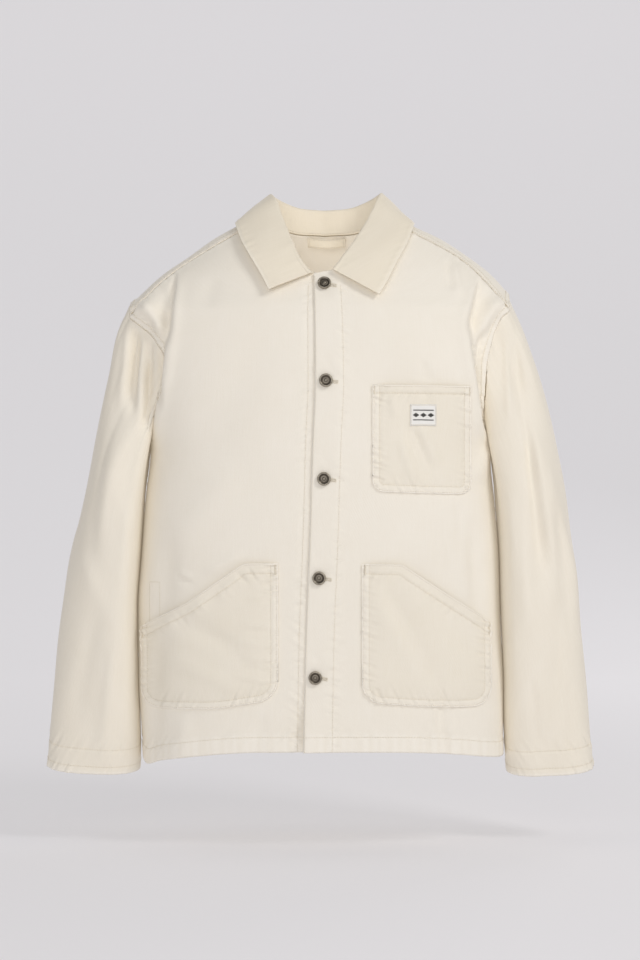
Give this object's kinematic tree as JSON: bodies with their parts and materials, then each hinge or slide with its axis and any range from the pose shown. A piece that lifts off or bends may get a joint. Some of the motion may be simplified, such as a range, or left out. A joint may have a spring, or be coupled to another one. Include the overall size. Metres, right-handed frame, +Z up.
{
  "type": "chore jacket",
  "caption": "Boxy button-front cotton twill work jacket with a turned-down collar and patch pockets, filled out as if worn.",
  "frame": {"origin": "middle of the neck on the shoulder line, level with the highest point of the shoulders, where a wearer's shoulders carry the jacket", "axes": "+Z up along the wearer's spine, -Y towards the buttoned front, +X towards the wearer's left sleeve"},
  "size_m": [0.7168, 0.2394, 0.7675],
  "materials": {
    "cotton_twill": "matte undyed cotton twill, softly creased",
    "collar_twill": "matte cotton twill, slightly warmer",
    "woven_label": "satin-woven label",
    "aged_metal": "dark antiqued metal"
  },
  "bodies": {
    "root": {"back": "cotton_twill", "front_left": "cotton_twill", "front_right": "cotton_twill", "sleeve_left": "cotton_twill", "sleeve_right": "cotton_twill", "collar": "collar_twill", "pocket_chest": "cotton_twill", "pocket_left": "cotton_twill", "pocket_right": "cotton_twill", "label": "woven_label", "hanger_loop": "cotton_twill", "button_1": "aged_metal", "button_2": "aged_metal", "button_3": "aged_metal", "button_4": "aged_metal", "button_5": "aged_metal"}
  },
  "joints": []
}
